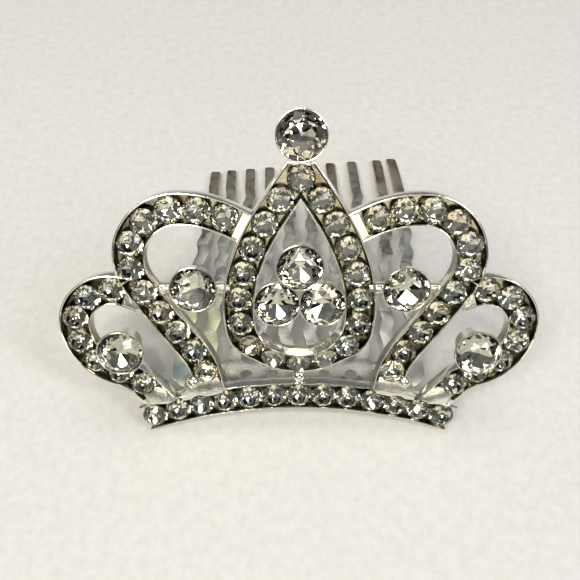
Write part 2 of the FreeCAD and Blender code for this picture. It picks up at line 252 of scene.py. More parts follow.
def sweep(bm, band, start, end, open_from, open_to, hosts=(None, None), capped=(True, True)):
    """Extrudes the section along a band. The groove is closed outside the two open marks."""
    corner = bm.verts.layers.int.get("corner") or bm.verts.layers.int.new("corner")
    recess = bm.verts.layers.float.get("recess") or bm.verts.layers.float.new("recess")
    outline = section()
    groove = {0, 1, 2, 3, len(outline) - 1, len(outline) - 2, len(outline) - 3}

    def put(vert, along):
        a, b = outline[vert[corner]]
        closed = not open_from <= along <= open_to
        in_groove = vert[corner] in groove
        # The open groove is marked as recess, and the plate is painted darker there: painted shade and
        # painted reflection, with a little tarnish.
        vert[recess] = 1.0 if in_groove and not closed else 0.0
        if closed and in_groove:
            b = CLOSED_LEVEL
        vert.co = frame_at(band, along) @ Vector((a, 0, b))
        host = hosts[0] if along < (start + end) / 2 else hosts[1]
        if host and closed:
            vert.co = tucked(vert.co, host)

    count = int((end - start) / STEP) + 1
    marks = {start + (end - start) * k / count for k in range(count + 1)}
    for mark in (open_from, open_to):
        if start < mark < end:
            marks |= {mark - CLOSING_RUN, mark + CLOSING_RUN}
    marks = sorted(marks)
    ring = [bm.verts.new() for _ in outline]
    for number, vert in enumerate(ring):
        vert[corner] = number
        put(vert, marks[0])
    edges = [bm.edges.new((ring[k], ring[(k + 1) % len(ring)])) for k in range(len(ring))]
    first = list(edges)
    for along in marks[1:]:
        made = bmesh.ops.extrude_edge_only(bm, edges=edges)["geom"]
        verts = [g for g in made if isinstance(g, bmesh.types.BMVert)]
        fresh = set(verts)
        edges = [g for g in made if isinstance(g, bmesh.types.BMEdge) and set(g.verts) <= fresh]
        for vert in verts:
            put(vert, along)
    for end_edges, cap in zip((first, edges), capped):
        if cap:
            bmesh.ops.contextual_create(bm, geom=end_edges)


def mirror_all(bm):
    """Adds the mirrored left side of what is drawn on the right."""
    copy = bmesh.ops.duplicate(bm, geom=bm.verts[:] + bm.edges[:] + bm.faces[:])["geom"]
    verts = [g for g in copy if isinstance(g, bmesh.types.BMVert)]
    faces = [g for g in copy if isinstance(g, bmesh.types.BMFace)]
    bmesh.ops.scale(bm, vec=(-1, 1, 1), verts=verts)
    bmesh.ops.reverse_faces(bm, faces=faces)


def channel_ends(band):
    """Where a channel's groove opens and closes, just past its first and last stone."""
    last = band["first"] + (band["stones"] - 1) * band["pitch"]
    return band["first"] - CHANNEL_PAST, last + CHANNEL_PAST


print("the section has", len(section()), "points")

# %% [markdown]
# The bands are swept now. Only the right half is drawn and then mirrored, and each arch runs
# on until it stands in the wall of the band that carries it, which is how the casting joins
# them. The teardrop is cut at the middle line, so that its halves meet in a point, and flat
# across its top. A trace of smooth noise bends the walls by a few hundredths of a millimetre.

# %% The bands of the crown
OVERSHOOT = 5
CUT_WITHIN = 0.0001
MERGE_WITHIN = 0.002
DEGENERATE_UNDER = 0.0005
ON_MIDDLE = 0.01


def cut_away(bm, through, normal):
    """Cuts everything off beyond a plane, and gives the edges of the open cut."""
    made = bmesh.ops.bisect_plane(bm, geom=bm.verts[:] + bm.edges[:] + bm.faces[:], dist=CUT_WITHIN,
                                  plane_co=through, plane_no=normal, clear_outer=True)
    return [g for g in made["geom_cut"] if isinstance(g, bmesh.types.BMEdge)]


bands = bmesh.new()
drop_end = length_of(DROP)
sweep(bands, DROP, -OVERSHOOT, drop_end, -OVERSHOOT - 1, drop_end + 1, capped=(False, False))
cut_away(bands, (0, 0, 0), (-1, 0, 0))
bar_end = BAR["first"] + (BAR["stones"] - 1) * BAR["pitch"] + BAR_PAST
sweep(bands, BAR, 0, bar_end, -1, bar_end + 1, capped=(False, True))
for arch, first_host, last_host in ((TALL_ARCH, DROP, BAR), (SMALL_ARCH, TALL_ARCH, BAR)):
    open_from, open_to = channel_ends(arch)
    sweep(bands, arch, open_from - arch["reach_back"], open_to + arch["reach_on"],
          open_from, open_to, (first_host, last_host))
mirror_all(bands)
middle = [v for v in bands.verts if abs(v.co.x) < ON_MIDDLE]
bmesh.ops.remove_doubles(bands, verts=middle, dist=MERGE_WITHIN)
bmesh.ops.dissolve_degenerate(bands, dist=DEGENERATE_UNDER, edges=bands.edges)
bmesh.ops.contextual_create(bands, geom=cut_away(bands, (0, TIP_TOP, 0), (0, 1, 0)))
bmesh.ops.recalc_face_normals(bands, faces=bands.faces)
print("open edges in the bands", sum(1 for e in bands.edges if len(e.link_faces) != 2))
hand_made(bands, size=0.045, grain=2.2)
soften(bands)
crown_bands = finish_piece(bands, "crown_bands", "crown_with_comb")

# %% [markdown]
# Each big stone sits in a turned cup: a short wall with a thin lip over a cone for the
# stone's point. The half profile is drawn once and spun round the cup's axis. The two raised
# cups stand on a stem, which flares under the lip.

# %% Cups for the big stones
PAVILION_DEPTH = 1.2
GIRDLE_HEIGHT = 0.1
RAISED_GIRDLE_Z = 1.75
STEM_RADIUS = 2.4
STEM_TOP = 0.75
FLARE_TOP = 1.3
CUP_TAPER = 0.9
SEAT_TAPER = 0.35
CUP_STEPS = 64
TOP_STONE = (0, 38.55)
TRIO_TOP = (0, 20.7)
TRIO_SIDE = (3.22, 15.15)
SIDE_STONE = (14.93, 17.4)
RAISED_STONE = (25.55, 8.35)

CUP_INSIDE = BIG_RADIUS + SEAT_GAP / 3
CUP_OUTSIDE = CUP_INSIDE + BEZEL_WALL
SEAT_LEVEL = GIRDLE_Z - GIRDLE_HEIGHT - SEAT_GAP
PLAIN_BACK = ((CUP_OUTSIDE * CUP_TAPER, -DEPTH),)
PLAIN_SEAT = ((CUP_INSIDE, SEAT_LEVEL), (CUP_INSIDE * SEAT_TAPER, FLOOR - DEPTH))
RAISED_BACK = (
    (STEM_RADIUS, -DEPTH), (STEM_RADIUS, STEM_TOP), (STEM_RADIUS + 0.15, STEM_TOP + 0.12),
    (CUP_OUTSIDE - 0.1, FLARE_TOP - 0.05), (CUP_OUTSIDE, FLARE_TOP + 0.1),
)
RAISED_SEAT = (
    (CUP_INSIDE, RAISED_GIRDLE_Z - SEAT_GAP),
    (SEAT_GAP, RAISED_GIRDLE_Z - PAVILION_DEPTH - SEAT_GAP),
)
LIFT = RAISED_GIRDLE_Z - GIRDLE_Z


def turn_cup(bm, centre, back, lip, seat):
    """Spins a cup from its back's outline, its lip height and its hollow's outline."""
    half = BEZEL_WALL / 2
    rim = [(CUP_INSIDE + half + half * math.cos(a), lip - half + half * math.sin(a)) for a in
           [math.radians(d) for d in (0, 45, 90, 135, 180)]]
    outside = [(0, back[0][1])] + list(back) + rim
    outline = outside + list(seat) + [(0, seat[-1][1])]
    recess = bm.verts.layers.float.get("recess") or bm.verts.layers.float.new("recess")
    verts = [bm.verts.new((r, 0, z)) for r, z in outline]
    # The hollow under the stone is marked as recess too, so it gets the same painted shade.
    for vert in verts[len(outside):]:
        vert[recess] = 1.0
    edges = [bm.edges.new(pair) for pair in zip(verts, verts[1:])]
    bmesh.ops.spin(bm, geom=verts + edges, cent=(0, 0, 0), axis=(0, 0, 1),
                   angle=math.tau, steps=CUP_STEPS, use_merge=True)
    turned = [v for v in bm.verts if not v.tag]
    bmesh.ops.translate(bm, verts=turned, vec=(centre[0], centre[1], 0))
    for vert in turned:
        vert.tag = True


cups = bmesh.new()
for place in (TOP_STONE, TRIO_TOP, TRIO_SIDE, (-TRIO_SIDE[0], TRIO_SIDE[1]),
              SIDE_STONE, (-SIDE_STONE[0], SIDE_STONE[1])):
    turn_cup(cups, place, PLAIN_BACK, 0, PLAIN_SEAT)
for side in (1, -1):
    turn_cup(cups, (side * RAISED_STONE[0], RAISED_STONE[1]), RAISED_BACK, LIFT, RAISED_SEAT)
bmesh.ops.remove_doubles(cups, verts=cups.verts, dist=DEGENERATE_UNDER)
bmesh.ops.recalc_face_normals(cups, faces=cups.faces)
hand_made(cups, size=0.03, grain=2.0)
soften(cups)
crown_cups = finish_piece(cups, "crown_cups", "crown_with_comb")

# %% [markdown]
# The rest of the casting is small and plain: bars that link the side stones to the arches,
# wedge feet where the arches meet the bar, a bead between them, the neck under the top
# stone, and the drop of solder under the teardrop. Each is a face pulled up to a slab with
# its edges rounded, or a squashed ball.

# %% Links, feet and solder
LINK_WIDTH = 1.4
LINK_DEPTH = 1.2
LINK_Y = 17.3
LINK_ROUND = 0.35
INNER_LINK_START = 9.6
OUTER_LINK_END = 20.0
FOOT_TOP = -0.02
NECK_TOP = -0.5
TALL_FOOT = ((11.2, 0.4), (17.6, -1.0), (17.8, 0.3), (16.6, 2.6), (15.3, 3.6), (11.9, 3.2))
SMALL_FOOT = ((18.4, -1.4), (18.7, -0.4), (20.0, 1.45), (22.2, 1.6), (23.4, 0.2), (22.3, -1.7))
NECK = ((-1.3, 34.6), (1.3, 34.6), (1.3, 36.2), (-1.3, 36.2))
TIP_WALL = ((-1.75, 34.98), (1.75, 34.98), (1.75, 35.3), (-1.75, 35.3))
LOBE = (15.8, 2.35)
BEAD_RADIUS = 1.05
SOLDER_AT = (0, 2.95, -0.95)
SOLDER_SIZE = (BEAD_RADIUS, BEAD_RADIUS * 0.95, 0.75)
SOFT_ANGLE = 40


def slab(bm, points, top, bottom, round_edge=0.2):
    """A flat outline pulled up to a thickness, with its top edges rounded."""
    verts = [bm.verts.new((x, y, bottom)) for x, y in points]
    face = bm.faces.new(verts)
    pulled = bmesh.ops.extrude_face_region(bm, geom=[face])["geom"]
    lid = [g for g in pulled if isinstance(g, bmesh.types.BMVert)]
    bmesh.ops.translate(bm, verts=lid, vec=(0, 0, top - bottom))
    rim = [e for e in bm.edges if e.verts[0] in lid and e.verts[1] in lid]
    bmesh.ops.bevel(bm, geom=rim, offset=round_edge, offset_type="OFFSET", segments=3, profile=0.5,
                    affect="EDGES", material=-1, loop_slide=False)


def bead(bm, centre, size):
    """A ball of metal, squashed to a size in each direction."""
    made = bmesh.ops.create_uvsphere(bm, u_segments=32, v_segments=16, radius=1)["verts"]
    bmesh.ops.scale(bm, vec=size, verts=made)
    bmesh.ops.translate(bm, vec=centre, verts=made)


joins = bmesh.new()
for low, high in ((INNER_LINK_START, SIDE_STONE[0] - BIG_RADIUS),
                  (SIDE_STONE[0] + BIG_RADIUS, OUTER_LINK_END)):
    y = LINK_Y - LINK_WIDTH / 2
    slab(joins, ((low, y), (high, y), (high, y + LINK_WIDTH), (low, y + LINK_WIDTH)),
         LINK_DEPTH - DEPTH, -DEPTH, LINK_ROUND)
slab(joins, TALL_FOOT, FOOT_TOP, -DEPTH)
slab(joins, SMALL_FOOT, FOOT_TOP, -DEPTH)
bead(joins, (*LOBE, -BEAD_RADIUS / 3), (BEAD_RADIUS, BEAD_RADIUS, BEAD_RADIUS))
mirror_all(joins)
slab(joins, NECK, NECK_TOP, -DEPTH)
slab(joins, TIP_WALL, 0, -DEPTH, round_edge=0.1)
bead(joins, SOLDER_AT, SOLDER_SIZE)
bmesh.ops.recalc_face_normals(joins, faces=joins.faces)
hand_made(joins, size=0.05, grain=1.5)
soften(joins, SOFT_ANGLE)
crown_joins = finish_piece(joins, "crown_feet_and_links", "crown_with_comb")

# %% [markdown]
# The comb is stamped from thin sheet. Its outline runs up one side of every tooth and down
# the other, round the foot of each slot, and the sewing holes are loops inside it. Blender
# fills the loops as one sheet, which is then pulled to its thickness. Handling has bent the
# teeth, so each leans to the right by its own amount and bows most at two thirds of its
# length. The press leaves the edges slightly rolled, so they get a small bevel, which is what
# catches the light.

# %% The stamped comb
COMB_START = (0.65, -1.5)
COMB_ANGLE = 61.0
COMB_THICKNESS = 0.55
TOOTH_PITCH = 4.05
TOOTH_WIDTH = 2.2
TIP_WIDTH = 1.9
TIP_ROUND = 0.5
SLOT_START = 4.25
HOLE_AT = 2.05
HOLE_RADIUS = 0.9
SPINE = ((17.9, 0), (19.5, 1.5), (19.6, 3.4), (19.35, 5.2))
WAVE_FROM = 7.5
WAVE_STEP = 2.4
WAVE_HEIGHT = 0.28
WAVE_COUNT = 15
TOOTH_LENGTH = 50.2
TOOTH_SLANT = 0.45
TOOTH_LEAN = (2.2, 1.3, 1.0, 0.8, 0.7, 0.7, 0.9, 1.2, 2.3, 1.2)
TOOTH_BOW = (0.55, 0.55, 0.5, 0.45, 0.45, 0.5, 0.7, 1.0, 1.4, 1.4)
BOW_SCALE = 27 / 4
TEETH = len(TOOTH_LEAN)
TOOTH_ROWS = 90
WAVE_SOFTNESS = 0.6
ROLLED_EDGE = 0.14
SHEET_ANGLE = 28
SQUARE_WITHIN = 0.1
LEVEL_WITHIN = 0.01


def wave_at(along):
    """The teeth's side-to-side wave, with soft corners, dying out towards the tip."""
    step = (along - WAVE_FROM) / WAVE_STEP
    if not -1 < step < WAVE_COUNT:
        return 0
    whole = math.floor(step)
    ends = [WAVE_HEIGHT * (-1) ** k if 0 <= k < WAVE_COUNT else 0 for k in (whole, whole + 1)]
    part = step - whole
    part += (part * part * (3 - 2 * part) - part) * WAVE_SOFTNESS
    return ends[0] + (ends[1] - ends[0]) * part


def tooth_sides(index):
    """The left side of a tooth from its slot to its tip, and the right side back."""
    length = TOOTH_LENGTH + TOOTH_SLANT * (index - (TEETH - 1) / 2)
    base = SLOT_START + (TOOTH_PITCH - TOOTH_WIDTH) / 2
    left, right = [], []
    for k in range(TOOTH_ROWS + 1):
        along = base + (length - TIP_ROUND - base) * k / TOOTH_ROWS
        half = (TOOTH_WIDTH + (TIP_WIDTH - TOOTH_WIDTH) * along / length) / 2
        share = along / length
        bow = TOOTH_BOW[index] * BOW_SCALE * (1 - share)
        middle = (index - (TEETH - 1) / 2) * TOOTH_PITCH + (TOOTH_LEAN[index] + bow) * share ** 2
        middle += wave_at(along)
        left.append((middle - half, along))
        right.append((middle + half, along))
    tip = (index - (TEETH - 1) / 2) * TOOTH_PITCH + TOOTH_LEAN[index]
    corner = TIP_WIDTH / 2 - TIP_ROUND
    for turn in (30, 60, 90):
        a = math.radians(turn)
        up, out = TIP_ROUND * math.sin(a), TIP_ROUND * math.cos(a)
        left.append((tip - corner - out, length - TIP_ROUND + up))
        right.append((tip + corner + out, length - TIP_ROUND + up))
    return left, right[::-1]


def comb_outline():
    """The sheet's whole edge: the spine's ends, the teeth, and the round slot feet."""
    points = [(-x, y) for x, y in SPINE]
    for index in range(TEETH):
        left, right = tooth_sides(index)
        points += left + right
        if index < TEETH - 1:
            x = (index + 1 - TEETH / 2) * TOOTH_PITCH
            half = (TOOTH_PITCH - TOOTH_WIDTH) / 2
            for turn in range(200, 341, 20):
                a = math.radians(turn)
                points.append((x + half * math.cos(a), SLOT_START + half + half * math.sin(a)))
    points += list(reversed(SPINE))
    return points


def loop(bm, points):
    """A closed ring of edges through points on the sheet's lower side."""
    verts = [bm.verts.new((x, y, -COMB_THICKNESS / 2)) for x, y in points]
    return [bm.edges.new((verts[k - 1], verts[k])) for k in range(len(verts))]


sheet = bmesh.new()
edges = loop(sheet, comb_outline())
for slot in range(2, TEETH - 1):
    x = (slot - TEETH / 2) * TOOTH_PITCH
    edges += loop(sheet, [(x + HOLE_RADIUS * math.cos(a), HOLE_AT + HOLE_RADIUS * math.sin(a)) for a in
                          [math.radians(d) for d in range(0, 360, 12)]])
bmesh.ops.triangle_fill(sheet, edges=edges, use_beauty=True, use_dissolve=False, normal=(0, 0, 1))
pulled = bmesh.ops.extrude_face_region(sheet, geom=sheet.faces[:])["geom"]
bmesh.ops.translate(sheet, verts=[g for g in pulled if isinstance(g, bmesh.types.BMVert)],
                    vec=(0, 0, COMB_THICKNESS))
bmesh.ops.recalc_face_normals(sheet, faces=sheet.faces)
# The rolled faces are marked, and the comb's material paints them pale: partly rubbed wear, partly a
# painted highlight.
rolled_wear_and_highlight = sheet.faces.layers.float.new("rolled_edge")
rims = [e for e in sheet.edges if abs(e.calc_face_angle(0) - math.pi / 2) < SQUARE_WITHIN
        and abs(e.verts[0].co.z - e.verts[1].co.z) < LEVEL_WITHIN]
rolled = bmesh.ops.bevel(sheet, geom=rims, offset=ROLLED_EDGE, offset_type="OFFSET", segments=3,
                         profile=0.5, affect="EDGES", material=-1, loop_slide=False,
                         clamp_overlap=True)["faces"]
for face in rolled:
    face[rolled_wear_and_highlight] = 1.0
bmesh.ops.transform(sheet, verts=sheet.verts, matrix=Matrix.Translation((0, *COMB_START))
                    @ Matrix.Rotation(math.radians(-COMB_ANGLE), 4, "X"))
soften(sheet, SHEET_ANGLE)
comb = finish_piece(sheet, "comb", "crown_with_comb")

# %% [markdown]
# A round stone is cut the way a cutter works: a plain round blank is turned, and each facet
# is a plane that takes a slice off it. Bisect does that, and the open cut is filled. Eight
# kite facets, eight stars, sixteen small ones by the girdle, and sixteen and eight on the
# back give the usual pattern. The back is shallow and silvered, so it is a second material.

# %% Cutting one stone
TABLE_SHARE = 0.55
CROWN_SHARE = 0.4
STAR_SLOPE = 0.66
GIRDLE_FACET_SLOPE = 1.22
BACK_FACET_SLOPE = 1.12
BLANK_SIDES = 64
EIGHTH = 45
SIXTEENTH = EIGHTH / 2
FLAT_WITHIN = 1


def slice_off(bm, through, normal):
    """Cuts everything off beyond a plane and closes the cut with one flat facet."""
    bmesh.ops.contextual_create(bm, geom=cut_away(bm, through, normal))


def facet_plane(bm, azimuth, through, rise):
    """A facet facing an azimuth in degrees, through (radius, height), at a slope."""
    a = math.radians(azimuth)
    out = Vector((math.cos(a), math.sin(a), 0))
    radius, height = through
    slope = math.atan(abs(rise))
    normal = out * math.sin(slope) + Vector((0, 0, math.copysign(math.cos(slope), rise)))
    slice_off(bm, out * radius + Vector((0, 0, height)), normal)


def cut_stone(radius):
    """A cut stone of a radius, with its girdle at z = 0."""
    bm = bmesh.new()
    table, height = radius * TABLE_SHARE, radius * CROWN_SHARE
    bmesh.ops.create_cone(bm, cap_ends=True, segments=BLANK_SIDES, radius1=radius, radius2=radius,
                          depth=height + PAVILION_DEPTH)
    bmesh.ops.translate(bm, verts=bm.verts, vec=(0, 0, (height - PAVILION_DEPTH) / 2))
    kite = height / (radius - table)
    under = (PAVILION_DEPTH - GIRDLE_HEIGHT) / radius
    star_edge = table * math.cos(math.radians(SIXTEENTH))
    narrow = radius * math.cos(math.radians(SIXTEENTH / 2))
    for k in range(8):
        facet_plane(bm, EIGHTH * k, (radius, 0), kite)
    for k in range(8):
        facet_plane(bm, EIGHTH * k + SIXTEENTH, (star_edge, height), kite * STAR_SLOPE)
    for k in range(16):
        facet_plane(bm, SIXTEENTH * (k + 0.5), (narrow, 0), kite * GIRDLE_FACET_SLOPE)
    for k in range(8):
        facet_plane(bm, EIGHTH * k, (radius, -GIRDLE_HEIGHT), -under)
    for k in range(16):
        facet_plane(bm, SIXTEENTH * (k + 0.5), (narrow, -GIRDLE_HEIGHT), -under * BACK_FACET_SLOPE)
    bmesh.ops.remove_doubles(bm, verts=bm.verts, dist=MERGE_WITHIN)
    bmesh.ops.dissolve_limit(bm, angle_limit=math.radians(FLAT_WITHIN), verts=bm.verts, edges=bm.edges)
    bmesh.ops.recalc_face_normals(bm, faces=bm.faces)
    for face in bm.faces:
        behind = face.calc_center_median().z < -GIRDLE_HEIGHT - LEVEL_WITHIN
        face.material_index = 1 if behind else 0
    return bm


def stone_mesh(radius):
    """The cut stone as a mesh to copy from."""
    bm = cut_stone(radius)
    mesh = bpy.data.meshes.new("cut_stone")
    bm.to_mesh(mesh)
    bm.free()
    print("a stone of radius", radius, "mm has", len(mesh.polygons), "facets")
    return mesh


SMALL_STONE = stone_mesh(SMALL_RADIUS)
BIG_STONE = stone_mesh(BIG_RADIUS)

# %% [markdown]
# Every stone is a copy of the cut one, set with its own turn and a slight tilt, since they
# are pushed into the channels by hand and no two catch the light alike. A row of stones is
# one piece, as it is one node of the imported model.

# %% Setting the stones
BIG_TILT = 1.2
SMALL_TILT = 2.5
dice = random.Random(7)


def tilted(tilt, axis):
    """A turn by a small random angle about an axis."""
    return Matrix.Rotation(math.radians(dice.uniform(-tilt, tilt)), 4, axis)


def set_stones(name, places, mesh, tilt):
    """Fills a piece with copies of a cut stone, one at each matrix."""
    bm = bmesh.new()
    shade = bm.faces.layers.float.new("stone_shade")
    for place in places:
        old = set(bm.faces)
        start = len(bm.verts)
        bm.from_mesh(mesh)
        bm.verts.ensure_lookup_table()
        turn = Matrix.Rotation(math.radians(dice.uniform(0, EIGHTH)), 4, "Z")
        lean = tilted(tilt, "X") @ tilted(tilt, "Y")
        bmesh.ops.transform(bm, matrix=place @ Matrix.Translation((0, 0, GIRDLE_Z)) @ lean @ turn,
                            verts=bm.verts[start:])
        value = dice.random()
        for face in bm.faces:
            if face not in old:
                face[shade] = value
    return finish_piece(bm, "glass_" + name, name)


def row(band):
    """A matrix for each stone of a band."""
    return [frame_at(band, band["first"] + k * band["pitch"]) for k in range(band["stones"])]


def flipped(places):
    """The same places on the left side."""
    swap = Matrix.Scale(-1, 4, (1, 0, 0))
    return [swap @ place @ swap for place in places]


def flat(x, y, level=0):
    """The matrix of a stone that faces straight out of the crown."""
    return Matrix.Translation((x, y, level))


big_places = {
    "top_stone": flat(*TOP_STONE), "trio_stone_top": flat(*TRIO_TOP),
    "trio_stone_right": flat(*TRIO_SIDE), "trio_stone_left": flat(-TRIO_SIDE[0], TRIO_SIDE[1]),
    "side_stone_right": flat(*SIDE_STONE), "side_stone_left": flat(-SIDE_STONE[0], SIDE_STONE[1]),
    "raised_stone_right": flat(*RAISED_STONE, LIFT),
    "raised_stone_left": flat(-RAISED_STONE[0], RAISED_STONE[1], LIFT),
}
stones = [set_stones(name, [place], BIG_STONE, BIG_TILT) for name, place in big_places.items()]
drop_row = row(DROP)
rows = {
    "bar_stones": row(BAR) + flipped(row(BAR)) + [flat(0, 0)],
    "teardrop_stones": drop_row + flipped(drop_row) + [flat(*TIP_STONE), frame_at(DROP, drop_end)],
    "tall_arch_stones_right": row(TALL_ARCH), "tall_arch_stones_left": flipped(row(TALL_ARCH)),
    "small_arch_stones_right": row(SMALL_ARCH), "small_arch_stones_left": flipped(row(SMALL_ARCH)),
}
stones += [set_stones(name, places, SMALL_STONE, SMALL_TILT) for name, places in rows.items()]

# %% [markdown]
# A material is a small graph of nodes. One function adds a node, gives it its settings, and
# links what feeds it, so that each material below reads as a list of what it is made of.
# Patterns read object coordinates in metres, so their scales are one over a real size.

# %% Helpers for materials
def start_material(name):
    """An empty material and its node tree."""
    material = bpy.data.materials.new(name)
    material.use_nodes = True
    material.node_tree.nodes.clear()
    return material, material.node_tree


def add(tree, kind, links=None, values=None, **settings):
    """Adds a node with settings, values for its own sockets, and links from other sockets."""
    node = tree.nodes.new(kind)
    for key, value in settings.items():
        setattr(node, key, value)
    for key, value in (values or {}).items():
        node.inputs[key].default_value = value
    for key, source in (links or {}).items():
        tree.links.new(source, node.inputs[key])
    return node


def per_mm(size):
    """The noise scale that gives a feature of a size in millimetres."""
    return 1 / (size * MM)


def ramp(tree, source, stops):
    """A colour ramp through (position, hex colour) stops."""
    node = add(tree, "ShaderNodeValToRGB", {"Fac": source})
    while len(node.color_ramp.elements) < len(stops):
        node.color_ramp.elements.new(0.5)
    for element, (position, colour) in zip(node.color_ramp.elements, stops):
        element.position = position
        element.color = linear(colour)
    return node.outputs["Color"]


def span(tree, source, low, high, start=0, end=1):
    """Maps a value from one range to another, held at its ends."""
    return add(tree, "ShaderNodeMapRange", {"Value": source},
               {"From Min": low, "From Max": high, "To Min": start, "To Max": end}).outputs["Result"]


def close_material(tree, shader):
    """Gives the shader to the material's output."""
    add(tree, "ShaderNodeOutputMaterial", {"Surface": shader.outputs["BSDF"]})


# %% [markdown]
# The crown is a cast zinc alloy with bright nickel-silver plate. Plate follows the casting
# under it, so the gloss is high but the surface is softly uneven, with small pits. The open
# grooves and cup hollows are painted a darker olive grey with brown: a little grey tarnish,
# but mostly painted shade and painted reflection. A metal's colour is its reflection, so most
# of the work is done by the roughness and the bump, at about 2 mm for the unevenness and
# 0.25 mm for the pits.

# %% Bright plated casting
def plated_casting():
    material, tree = start_material("bright_silver_plate_on_cast_zinc")
    place = add(tree, "ShaderNodeTexCoord").outputs["Object"]
    clouds = add(tree, "ShaderNodeTexNoise", {"Vector": place},
                 {"Scale": per_mm(2.2), "Detail": 4, "Roughness": 0.6}).outputs["Fac"]
    pits = add(tree, "ShaderNodeTexNoise", {"Vector": place},
               {"Scale": per_mm(0.28), "Detail": 3, "Roughness": 0.55}).outputs["Fac"]
    wear = add(tree, "ShaderNodeTexNoise", {"Vector": place}, {
        "Scale": per_mm(5.0), "Detail": 6, "Roughness": 0.7, "Distortion": 0.4}).outputs["Fac"]
    bright = ramp(tree, wear, [
        (0.3, "#B9B7A4"), (0.42, "#E6E4D6"), (0.6, "#F4F2E8"), (0.75, "#DAD5BE")])
    # The groove colour is a darker olive grey with a brown patch: a little grey tarnish, mostly
    # painted shade and painted reflection.
    groove_tarnish_and_painted_shade = ramp(tree, clouds, [
        (0.32, "#7E7B68"), (0.45, "#A5A28F"), (0.58, "#949079"), (0.7, "#9A825C")])
    recess = add(tree, "ShaderNodeAttribute", attribute_name="recess").outputs["Fac"]
    colour = add(tree, "ShaderNodeMix", {"Factor": recess, "A": bright, "B": groove_tarnish_and_painted_shade},
                 data_type="RGBA").outputs["Result"]
    gloss = span(tree, clouds, 0.3, 0.7, 0.1, 0.27)
    waves = add(tree, "ShaderNodeBump", {"Height": clouds}, {"Strength": 0.5, "Distance": 0.12 * MM})
    fine = add(tree, "ShaderNodeBump", {"Height": pits, "Normal": waves.outputs["Normal"]},
               {"Strength": 0.35, "Distance": 0.03 * MM})
    shader = add(tree, "ShaderNodeBsdfPrincipled",
                 {"Base Color": colour, "Roughness": gloss, "Normal": fine.outputs["Normal"]},
                 {"Metallic": 1})
    close_material(tree, shader)
    return material


# %% [markdown]
# The comb is stamped sheet with a thinner, duller plate. It has rubbed grey mottling, goes
# brown towards the tips of the teeth, where hair and hands have worn it, and on its left
# side it shows the yellow and blue-green bloom of old nickel. The gradients read the place
# on the comb, and the clouds are 1 to 6 mm across. The rolled edges are painted pale and
# made matt: partly rubbed wear, partly a painted highlight along each edge.

# %% Worn comb
def worn_comb():
    material, tree = start_material("worn_nickel_plate_on_stamped_sheet")
    place = add(tree, "ShaderNodeTexCoord").outputs["Object"]
    parts = add(tree, "ShaderNodeSeparateXYZ", {"Vector": place}).outputs
    clouds = add(tree, "ShaderNodeTexNoise", {"Vector": place}, {
        "Scale": per_mm(3.5), "Detail": 7, "Roughness": 0.68, "Distortion": 0.6}).outputs["Fac"]
    grain = add(tree, "ShaderNodeTexNoise", {"Vector": place},
                {"Scale": per_mm(0.3), "Detail": 3, "Roughness": 0.6}).outputs["Fac"]
    patches = add(tree, "ShaderNodeTexNoise", {"Vector": place},
                  {"Scale": per_mm(6.0), "Detail": 3, "Roughness": 0.5}).outputs["Fac"]
    plain = ramp(tree, clouds, [
        (0.3, "#A3A096"), (0.45, "#C9C7BC"), (0.6, "#DEDCD2"), (0.72, "#B0ADA2")])
    bloom = ramp(tree, patches, [(0.35, "#E2D9AC"), (0.5, "#CFD3B4"), (0.62, "#BCCDC9")])
    left = span(tree, parts["X"], -9 * MM, -13 * MM)
    root = span(tree, parts["Y"], 0, -12 * MM)
    amount = add(tree, "ShaderNodeMath", {0: left, 1: root}, operation="MULTIPLY").outputs["Value"]
    stained = add(tree, "ShaderNodeMix", {"Factor": amount, "A": plain, "B": bloom},
                  data_type="RGBA").outputs["Result"]
    brown = ramp(tree, clouds, [(0.35, "#9A8570"), (0.55, "#C9B598"), (0.7, "#A8927A")])
    tips = span(tree, parts["Y"], 6 * MM, 26 * MM, 0, 0.75)
    aged = add(tree, "ShaderNodeMix", {"Factor": tips, "A": stained, "B": brown},
               data_type="RGBA").outputs["Result"]
    # Pale rolled edges: partly rubbed wear, partly a painted highlight.
    edge = add(tree, "ShaderNodeAttribute", attribute_name="rolled_edge").outputs["Fac"]
    rubbed_and_painted_highlight = ramp(tree, grain, [(0.3, "#D8D3BC"), (0.6, "#F6F3E2")])
    colour = add(tree, "ShaderNodeMix", {"Factor": edge, "A": aged, "B": rubbed_and_painted_highlight},
                 data_type="RGBA").outputs["Result"]
    gloss = span(tree, clouds, 0.3, 0.7, 0.2, 0.42)
    dull = add(tree, "ShaderNodeMix", {"Factor": edge, "A": gloss}, {"B": 0.55}).outputs["Result"]
    waves = add(tree, "ShaderNodeBump", {"Height": clouds}, {"Strength": 0.45, "Distance": 0.1 * MM})
    fine = add(tree, "ShaderNodeBump", {"Height": grain, "Normal": waves.outputs["Normal"]},
               {"Strength": 0.4, "Distance": 0.02 * MM})
    shader = add(tree, "ShaderNodeBsdfPrincipled",
                 {"Base Color": colour, "Roughness": dull, "Normal": fine.outputs["Normal"]},
                 {"Metallic": 1})
    close_material(tree, shader)
    return material


# %% [markdown]
# The stones are pressed glass, clear with a trace of warmth, and silvered behind with a foil
# that sends the light back out through the facets. Two materials do this: glass with its
# real refraction on the front facets, and a metal mirror on the back ones. Each stone carries
# a random number, which tints it a little, as glass from different batches is tinted.

